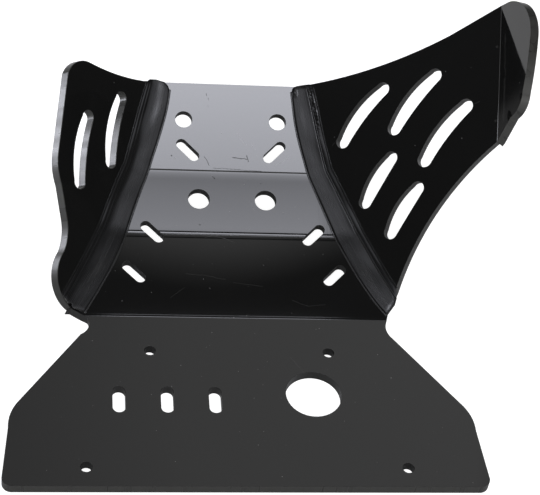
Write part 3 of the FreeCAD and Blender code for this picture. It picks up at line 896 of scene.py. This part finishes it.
def face_material(name, settings, dust_share, hair_share, folded=False, marks=()):
    """Smooth black sheet: brush streaks, dust, hairlines, marks, one a painted highlight, and on the
    centre creases.
    """
    material, tree, shader = new_material(name)
    place = object_place(tree)
    dust = placed(tree, "dust", Place=place, Share=dust_share, **FACE_DUST)["Mask"]
    hairs = placed(tree, "hairline", Place=place, Share=hair_share, **FACE_HAIRS)["Mask"]
    streaks = noise(tree, vector(tree, "MULTIPLY", place, BRUSH_SCALE), 1.0, 3.0)
    cloud = noise(tree, place, CLOUD_SCALE, 3.0)
    pale = worked(tree, "MAXIMUM", dust, worked(tree, "MULTIPLY", hairs, HAIR_PALENESS))
    dull = worked(tree, "MULTIPLY", dust, DUST_DULLNESS)
    height = worked(tree, "MULTIPLY", streaks, CENTRE_BRUSH if folded else WING_BRUSH)
    if marks:
        # Pale marks; on the right wing the line along the flange's bend is a painted highlight
        scratches_and_highlight = worked(tree, "MULTIPLY", mask_of(tree, place, marks), MARK_PALENESS)
        pale = worked(tree, "MAXIMUM", pale, scratches_and_highlight)
    if folded:
        scuffs = worked(tree, "MULTIPLY", mask_of(tree, place, DULL_MARKS), MARK_DULLNESS)
        dull = worked(tree, "MAXIMUM", dull, scuffs)
        creases = (REAR_CREASE, MIDDLE_CREASE, FRONT_CREASE)
        for (y, z), rear, front, slopes in zip(
                panel_lines()[1:4], PANEL_TILTS, PANEL_TILTS[1:], creases):
            crease = crease_height(tree, place, (y, z, (rear + front) / 2), slopes)
            height = worked(tree, "ADD", height, crease)
    black = shaded(tree, settings.black, cloud, FACE_SHADE)
    feed(tree, mixed(tree, pale, black, (*settings.dust, 1.0)), shader.inputs["Base Color"])
    hair_rough = worked(tree, "MULTIPLY", hairs, HAIR_ROUGHNESS)
    rough = worked(tree, "ADD", settings.gloss_roughness, hair_rough)
    rough = worked(tree, "ADD", rough, worked(tree, "MULTIPLY", dull, DULL_ROUGHNESS))
    feed(tree, rough, shader.inputs["Roughness"])
    bumped(tree, height, shader)
    return material


def cut_material(name, settings, across, colour):
    """Milled side: cutter marks from face to face, a little lighter and darker along its length."""
    material, tree, shader = new_material(name)
    marks = placed(tree, "mill", Place=object_place(tree), Across=across, Spacing=MILL_SPACING)
    feed(tree, shaded(tree, colour, marks["Coarse"], MILL_SHADE), shader.inputs["Base Color"])
    rough = settings.milled_roughness
    rough = eased(tree, marks["Coarse"], 0.3, 0.7, rough - 0.05, rough + 0.07)
    feed(tree, rough, shader.inputs["Roughness"])
    bumped(tree, two_depths(tree, marks["Coarse"], marks["Fine"], MILL_DEPTHS), shader)
    return material


class SKIDPLATE_OT_plates(bpy.types.Operator):
    """Finishes the centre plate and the two wings"""

    bl_idname = "skidplate.plates"
    bl_label = "Finish the plates"

    def execute(self, context):
        settings = context.scene.skid_sheet
        self.finish_centre(settings)
        self.finish_wing("right", RIGHT_WING, FOLDED_LEAST, WING_MARKS_AND_HIGHLIGHT, settings)
        self.finish_wing("left", LEFT_WING, FLAT_LEAST, (), settings)
        return {"FINISHED"}

    def finish_centre(self, settings):
        """Sheet faces, hole walls in painted shade and the outer edge each get their own material."""
        piece = rounded_copy("centre_plate", "centre_sheet", settings.edge_round)
        normals = polygon_values(piece.data, "normal", 3)
        steepest = cos(radians(PANEL_TILTS[-1] + STEEPER_DEGREES))
        is_face = (abs(normals[:, 0]) < SIDEWAYS_MOST) & (abs(normals[:, 2]) > steepest)
        materials = (face_material("centre face", settings, *CENTRE_SHARES, True, PALE_MARKS),
                     cut_material("centre cut edge", settings, (0.0, 0.0, 1.0), settings.milled),
                     # The darker hole wall colour is painted shade in the holes
                     cut_material("hole wall", settings, (0.0, 0.0, 1.0), settings.shade_darkened))
        centres = polygon_values(piece.data, "center", 3)
        in_hole = ((abs(centres[:, 0]) < HOLES_HALF)
                   & (centres[:, 1] > HOLES_FROM) & (centres[:, 1] < HOLES_TO))
        choice = np.where(is_face, 0, np.where(in_hole, 2, 1))
        dress_sheet(piece, "centre_plate", materials, choice)

    def finish_wing(self, side, wing, least, marks, settings):
        """Faces and cut edges of a wing. Only the right one has a face that the lean fits."""
        piece = rounded_copy(side + "_wing", side + "_sheet", settings.edge_round)
        lean_face(piece.data, FLANGE_FACE, FLANGE_LEAN)
        normal = wing_normal(wing)
        is_face = abs(polygon_values(piece.data, "normal", 3) @ normal) > least
        materials = (face_material(side + " wing face", settings, *WING_SHARES, False, marks),
                     cut_material(side + " wing cut edge", settings, tuple(normal), settings.milled))
        dress_sheet(piece, side + "_wing", materials, np.where(is_face, 0, 1))


# Weld beads


def seam_path(wing):
    """Samples of a welded corner, rounded a little where the centre plate folds.

    The corner runs where the wing's plane meets the upper faces of the tilted panels. Each row
    holds the place on the corner, the way inward along the panel, the way outward up the wing
    and the panel's normal; a running mean over BEAD_BLEND rounds the kinks. Returns the
    distances from the first fold, the rows and the whole length.
    """
    hand = wing[0]
    normal = wing_normal(wing)
    lines = np.array(panel_lines()[1:])
    across = hand * WING_ROOT_HALF - (lines - lines[0]) @ normal[1:] / normal[0]
    corners = np.column_stack([across, lines])
    runs = np.diff(corners, axis=0)
    lengths = np.linalg.norm(runs, axis=1)
    runs /= lengths[:, None]
    tilts = np.radians(PANEL_TILTS[1:])
    panel_normals = np.column_stack([np.zeros(3), -np.sin(tilts), np.cos(tilts)])
    inward = np.cross(panel_normals, runs) * hand
    outward = np.cross(runs, normal) * hand
    starts = np.concatenate([[0.0], np.cumsum(lengths)])
    margin = 2 * BEAD_BLEND
    along = np.arange(-margin, starts[-1] + margin, BEAD_STEP)
    which = np.clip(np.searchsorted(starts, along, side="right") - 1, 0, 2)
    place = corners[which] + runs[which] * (along - starts[which])[:, None]
    rows = np.hstack([place, inward[which], outward[which], panel_normals[which]])
    count = int(BEAD_BLEND / BEAD_STEP) | 1
    mean = np.full(count, 1.0 / count)
    smooth = np.column_stack([np.convolve(column, mean, mode="valid") for column in rows.T])
    trim = count // 2
    return along[trim:-trim], smooth, starts[-1]


def stations(values, along):
    """A smooth curve through a few (distance, size) stations in millimetres."""
    places, sizes = np.array(values).T / 1000.0
    dense = np.linspace(places[0], places[-1], STATION_SAMPLES)
    line = np.interp(dense, places, sizes)
    padded = np.pad(line, STATION_BLEND // 2, mode="edge")
    mean = np.full(STATION_BLEND, 1.0 / STATION_BLEND)
    return np.interp(along, dense, np.convolve(padded, mean, mode="valid"))


def arc(share):
    """A parabola over 0 to 1, of height 1."""
    return 4.0 * share * (1.0 - share)


def rounded_end(distance, radius):
    """Rises from 0 to 1 over a radius, as a quarter of an ellipse."""
    return np.sqrt(1.0 - (1.0 - np.clip(distance / radius, 0.0, 1.0)) ** 2)


def unit(rows):
    """Vectors of length 1."""
    return rows / np.linalg.norm(rows, axis=-1, keepdims=True)


def ripple(shape, along, across):
    """Slow swells, short wrinkles on the small lobe near the front end, and round blobs.

    Swells and wrinkles are sine waves of the distance along and the share across. Wrinkles grow
    towards the front end and fade across as a bell curve, and each blob is a bell curve too.
    """
    swell = sum(height * np.sin(along * pace + turn * across) for height, pace, turn in SWELLS)
    front = np.clip((along - WRINKLES_FROM) / WRINKLES_GROW, 0.0, 1.0)
    on_small = np.exp(-((across - WRINKLES_MIDDLE) / WRINKLES_WIDTH) ** 2)
    wrinkle = np.sin(
        along * WRINKLES_ALONG + WRINKLES_ACROSS * across + SWAY * np.sin(along * SWAY_ALONG))
    swell = swell + shape["wrinkle"] * front * on_small * wrinkle
    for at, share, length, width, height in shape["blobs"]:
        swell = swell + height * np.exp(-((along - at) / length) ** 2 - ((across - share) / width) ** 2)
    return swell * np.sqrt(np.clip(arc(across), 0.0, 1.0))


def bead_surface(wing, shape):
    """Top and underside of a weld bead as two grids of points.

    A point lies at a distance along the corner and a share across, from the foot on the panel
    to the foot on the wing. The wide lobe is a hollow parabola and one sine wave on the chord
    from the foot on the panel to a line above the wing, with a rounded step at its foot: full
    near the panel and hollow near the wing. There it drops to the small lobe, a thin layer that
    feathers out on the wing. A thin raised lip runs outside each foot, and neighbours across
    are averaged. The ends drop to the plates as quarter ellipses. The underside is the corner,
    sunk a little.
    """
    along_path, rows, whole = seam_path(wing)
    share = np.linspace(0.0, 1.0, BEAD_ACROSS)
    outside = len(LIP_OUT)
    none = np.zeros(outside)
    across = np.concatenate([none, share, none + 1.0])
    first = np.clip(across / shape["share"], 0.0, 1.0)
    second = np.clip((across - shape["share"]) / (1.0 - shape["share"]), 0.0, 1.0)
    on_main = second <= 0.0
    across_main = shape["crown"] * arc(first) + shape["wave"] * np.sin(2.0 * np.pi * first)
    main_hump = on_main * (across_main + shape["step"] * rounded_end(first, BEAD_FOOT))
    small_hump = shape["small_crown"] * arc(second)
    rest = np.zeros(BEAD_ACROSS + outside)
    panel_out, panel_up = np.concatenate([LIP_OUT, rest]), np.concatenate([LIP_UP, rest])
    wing_out, wing_up = np.concatenate([rest, LIP_OUT[::-1]]), np.concatenate([rest, LIP_UP[::-1]])
    low = np.interp(across, *np.array(shape["low_end"]).T) / 1000.0
    high = whole + np.interp(across, *np.array(shape["high_end"]).T) / 1000.0
    steps = int((high.max() - low.min()) / BEAD_STEP)
    along = low + (high - low) * np.linspace(0.0, 1.0, steps)[:, None]
    at = np.stack([np.interp(along, along_path, column) for column in rows.T], axis=-1)
    corner, inward, outward, on_panel = np.split(at, 4, axis=-1)
    on_wing = wing_normal(wing)
    panel_leg = stations(shape["panel_leg"], along)
    wing_leg = stations(shape["wing_leg"], along)
    valley_out = np.maximum(wing_leg - shape["small_leg"], (1.0 - shape["small_most"]) * wing_leg)
    rise = rounded_end(along - low, shape["low_round"]) * rounded_end(high - along, shape["high_round"])
    on_face = (corner + inward * (panel_leg * (1.0 - first) + panel_out)[..., None]
               + outward * (valley_out * first + (wing_leg - valley_out) * second + wing_out)[..., None])
    chord = inward * panel_leg[..., None] - outward * valley_out[..., None] - on_wing * shape["valley_up"]
    chord = unit(chord)
    bisector = inward + outward
    across_chord = unit(bisector - chord * (bisector * chord).sum(axis=-1, keepdims=True))
    height = np.where(on_main, shape["valley_up"] * first, shape["valley_low"] * (1.0 - second))
    lift = on_wing * (height + small_hump)[:, None]
    lift = lift + across_chord * (main_hump + ripple(shape, along, across))[..., None]
    top = on_face + lift * rise[..., None]
    top += on_panel * (panel_up * rise)[..., None] + on_wing * (wing_up * rise)[..., None]
    top[:, 1:-1] = (top[:, :-2] + 2.0 * top[:, 1:-1] + top[:, 2:]) / 4.0
    sink = np.where(first[:, None] < 1.0, on_panel, on_wing)
    under = on_face - sink * BEAD_SINK
    return top, under, along, across


def closed_shell(name, top, under):
    """A closed mesh from two grids of the same size that meet at their rims."""
    rows, columns = top.shape[:2]
    points = np.concatenate([top.reshape(-1, 3), under.reshape(-1, 3)])
    i, j = np.meshgrid(np.arange(rows - 1), np.arange(columns - 1), indexing="ij")
    here = (i * columns + j).ravel()
    quads = np.column_stack([here, here + 1, here + columns + 1, here + columns])
    half = rows * columns
    ring = np.concatenate([
        np.arange(columns), columns * np.arange(1, rows) + columns - 1,
        half - 2 - np.arange(columns - 1), columns * np.arange(rows - 2, 0, -1)])
    after = np.roll(ring, -1)
    sides = np.column_stack([ring, ring + half, after + half, after])
    faces = np.concatenate([quads, quads[:, ::-1] + half, sides])
    mesh = bpy.data.meshes.new(name)
    mesh.from_pydata(points, [], faces)
    mesh.validate()
    shape = bmesh.new()
    shape.from_mesh(mesh)
    bmesh.ops.recalc_face_normals(shape, faces=shape.faces)
    shape.to_mesh(mesh)
    shape.free()
    mesh.shade_smooth()
    piece = bpy.data.objects.new(name, mesh)
    bpy.context.scene.collection.objects.link(piece)
    return piece


def bead_material(name, settings):
    """Satin weld plastic with streaks along the seam, smoother on the small lobe's front run."""
    material, tree, shader = new_material(name)
    seam = add_node(tree, "ShaderNodeUVMap", uv_map="seam").outputs["UV"]
    streaks = placed(tree, "streak", Seam=seam, Lines=WELD_LINES)
    dust = placed(tree, "dust", Place=object_place(tree), **WELD_DUST)["Mask"]
    black = shaded(tree, settings.weld_black, streaks["Broad"], WELD_SHADE)
    pale = worked(tree, "MULTIPLY", dust, WELD_DUST_SHOWS)
    feed(tree, mixed(tree, pale, black, (*settings.dust, 1.0)), shader.inputs["Base Color"])
    split = parts(tree, seam)
    on_small = eased(tree, split["Y"], *GLOSS_ACROSS)
    glossy = worked(tree, "MULTIPLY", eased(tree, split["X"], *GLOSS_ALONG, 0.0, GLOSS), on_small)
    rough = settings.weld_roughness
    rough = eased(tree, streaks["Fine"], 0.25, 0.75, rough - 0.05, rough + 0.04)
    feed(tree, worked(tree, "SUBTRACT", rough, glossy), shader.inputs["Roughness"])
    height = two_depths(tree, streaks["Broad"], streaks["Fine"], WELD_DEPTHS)
    leaning = worked(tree, "SMOOTH_MIN", split["X"], BEAD_LEAN_TO, BEAD_LEAN_EASE)
    bumped(tree, worked(tree, "SUBTRACT", height, worked(tree, "MULTIPLY", leaning, BEAD_LEAN)), shader)
    return material


def seam_map(mesh, along, across):
    """A UV map of the distance along the seam in metres and the share across, top and underside."""
    grid = np.stack([along, np.broadcast_to(across, along.shape)], axis=-1).reshape(-1, 2)
    values = np.concatenate([grid, grid])[corner_points(mesh)]
    mesh.uv_layers.new(name="seam").data.foreach_set("uv", values.astype(np.float32).ravel())


class SKIDPLATE_OT_beads(bpy.types.Operator):
    """Builds the two weld beads"""

    bl_idname = "skidplate.beads"
    bl_label = "Build the weld beads"

    def execute(self, context):
        settings = context.scene.skid_sheet
        for side, wing, shape in (("right", RIGHT_WING, RIGHT_BEAD), ("left", LEFT_WING, LEFT_BEAD)):
            top, under, along, across = bead_surface(wing, shape)
            piece = closed_shell(side + "_bead", top, under)
            seam_map(piece.data, along, across)
            piece.data.materials.append(bead_material(side + " weld plastic", settings))
            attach(piece, "root")
            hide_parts(side + "_weld")
        return {"FINISHED"}


class SKIDPLATE_PT_panel(bpy.types.Panel):
    bl_label = "Skid Plate"
    bl_idname = "SKIDPLATE_PT_panel"
    bl_space_type = "VIEW_3D"
    bl_region_type = "UI"
    bl_category = "Skid Plate"

    def draw(self, context):
        column = self.layout.column()
        for operator in OPERATORS:
            column.operator(operator.bl_idname)


OPERATORS = (SKIDPLATE_OT_stage, SKIDPLATE_OT_plates, SKIDPLATE_OT_beads)
CLASSES = (StudioSettings, SheetSettings, *OPERATORS, SKIDPLATE_PT_panel)


def register():
    for cls in CLASSES:
        bpy.utils.register_class(cls)
    bpy.types.Scene.skid_studio = PointerProperty(type=StudioSettings)
    bpy.types.Scene.skid_sheet = PointerProperty(type=SheetSettings)


def unregister():
    del bpy.types.Scene.skid_studio
    del bpy.types.Scene.skid_sheet
    for cls in reversed(CLASSES):
        bpy.utils.unregister_class(cls)


def build_groups():
    """Builds each shader group once, before the materials that use it."""
    makers = (("dust", dust_group), ("hairline", hairline_group), ("stroke", stroke_group),
              ("mill", mill_group), ("streak", streak_group))
    GROUPS.update((key, maker()) for key, maker in makers)


def main():
    register()
    build_groups()
    bpy.ops.skidplate.stage()
    bpy.ops.skidplate.plates()
    bpy.ops.skidplate.beads()
    boxes = {"cad": CAD_BOX, "visual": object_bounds()}
    boxes = {key: [list(map(float, corner)) for corner in box] for key, box in boxes.items()}


if __name__ == "__main__":
    main()
